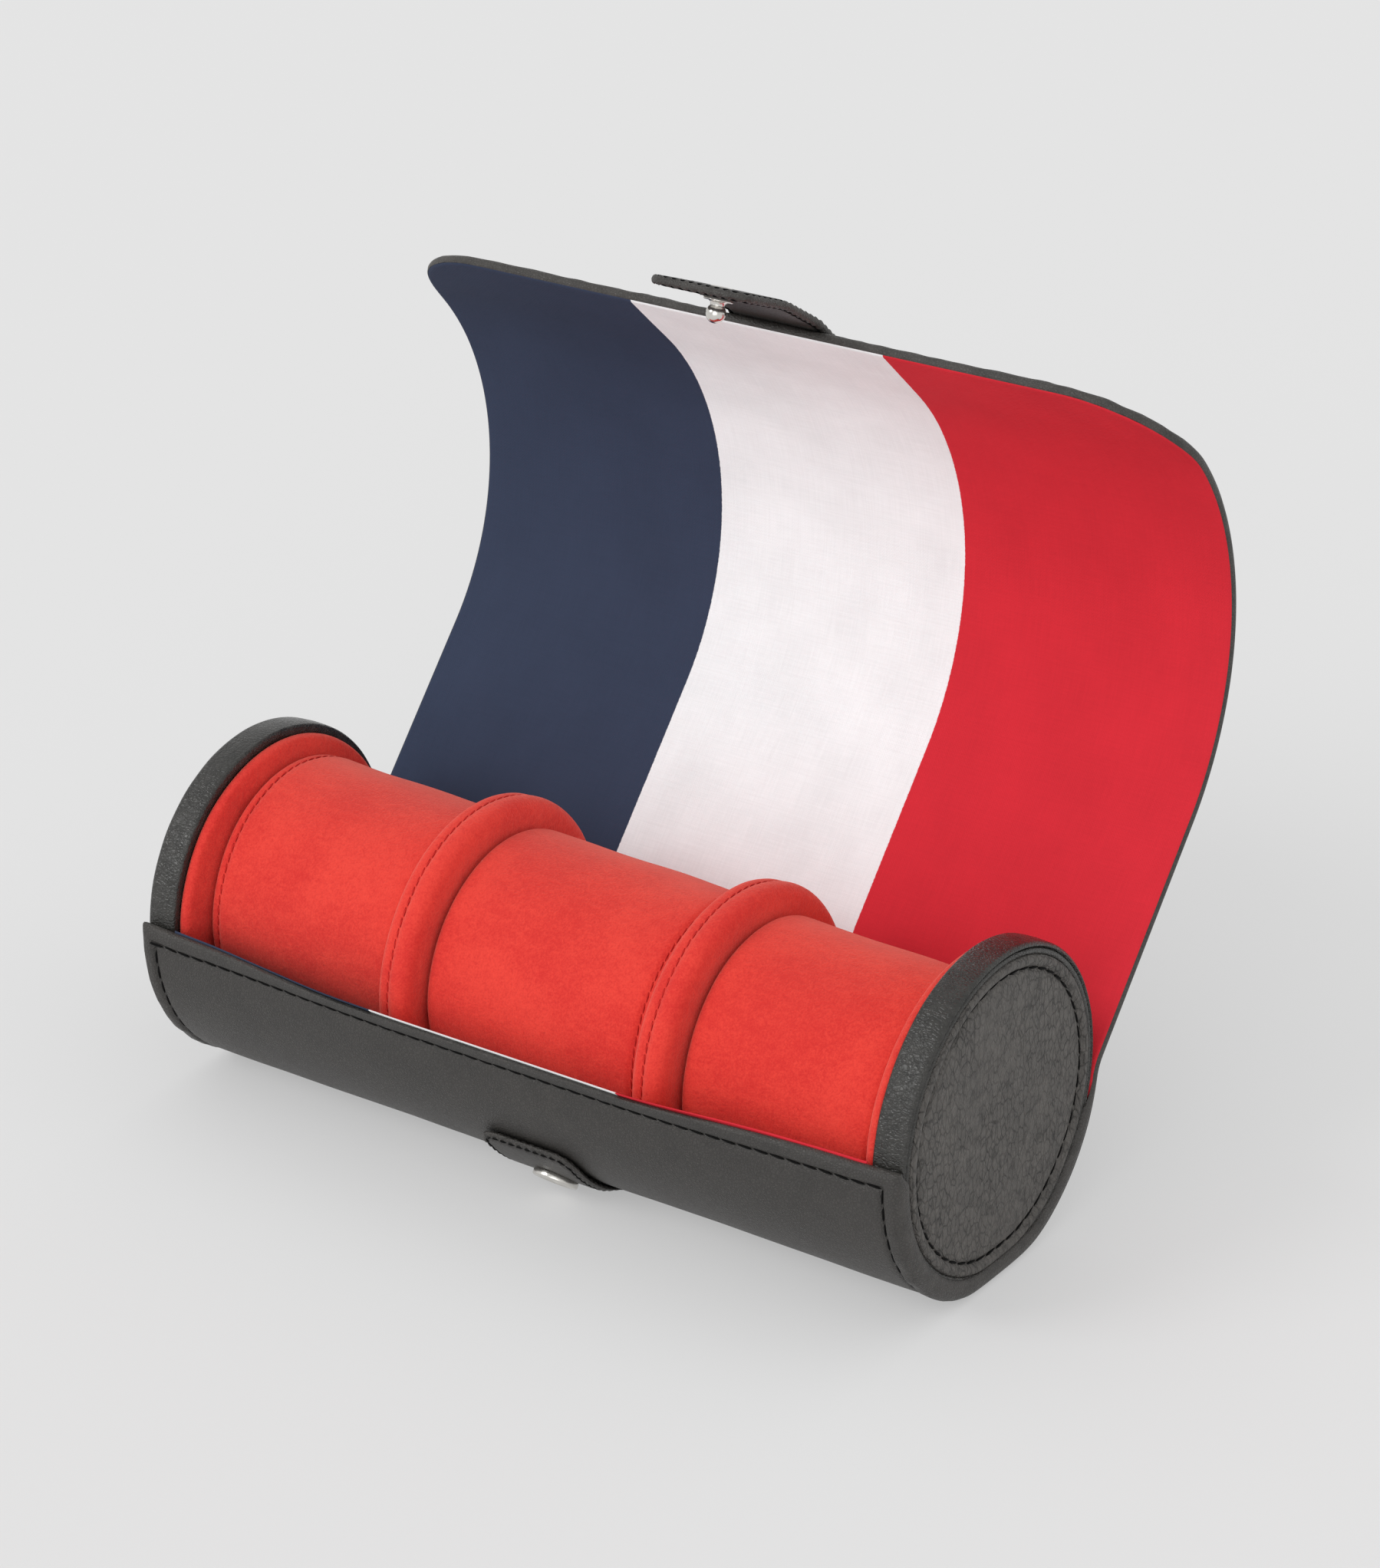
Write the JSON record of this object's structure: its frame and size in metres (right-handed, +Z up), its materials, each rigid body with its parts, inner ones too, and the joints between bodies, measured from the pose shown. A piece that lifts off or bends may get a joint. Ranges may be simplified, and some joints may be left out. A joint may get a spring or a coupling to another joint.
{
  "type": "watch roll",
  "caption": "Open leather watch roll with round end caps, red suede cushions between padded dividers, a striped cotton lining and a curled flap that closes with a snap tab.",
  "frame": {"origin": "centre of the small flat that the roll rests on", "axes": "+X along the roll towards its right cap, +Y towards the flap at the back, +Z up"},
  "size_m": [0.2218, 0.1459, 0.211],
  "materials": {
    "black_leather": "fine grain, satin",
    "rim_leather": "smooth grain, semi-gloss",
    "lining_cotton": "fine plain weave in navy, white and red fields, matte",
    "red_suede": "napped suede, matte",
    "grey_board": "pressed fibreboard, matte",
    "nickel": "polished nickel plate"
  },
  "bodies": {
    "root": {"outer_cover": "black_leather", "lining": "lining_cotton", "left_rim_band": "rim_leather", "right_rim_band": "rim_leather", "left_face_disc": "black_leather", "right_face_disc": "black_leather", "left_cap_core": "grey_board", "right_cap_core": "grey_board", "left_inner_pad": "red_suede", "right_inner_pad": "red_suede", "left_cushion": "red_suede", "middle_cushion": "red_suede", "right_cushion": "red_suede", "left_divider": "red_suede", "right_divider": "red_suede", "flap_tab": "black_leather", "front_tab": "black_leather", "stud": "nickel", "stud_rivet": "nickel", "socket": "nickel", "socket_rivet": "nickel"}
  },
  "joints": []
}
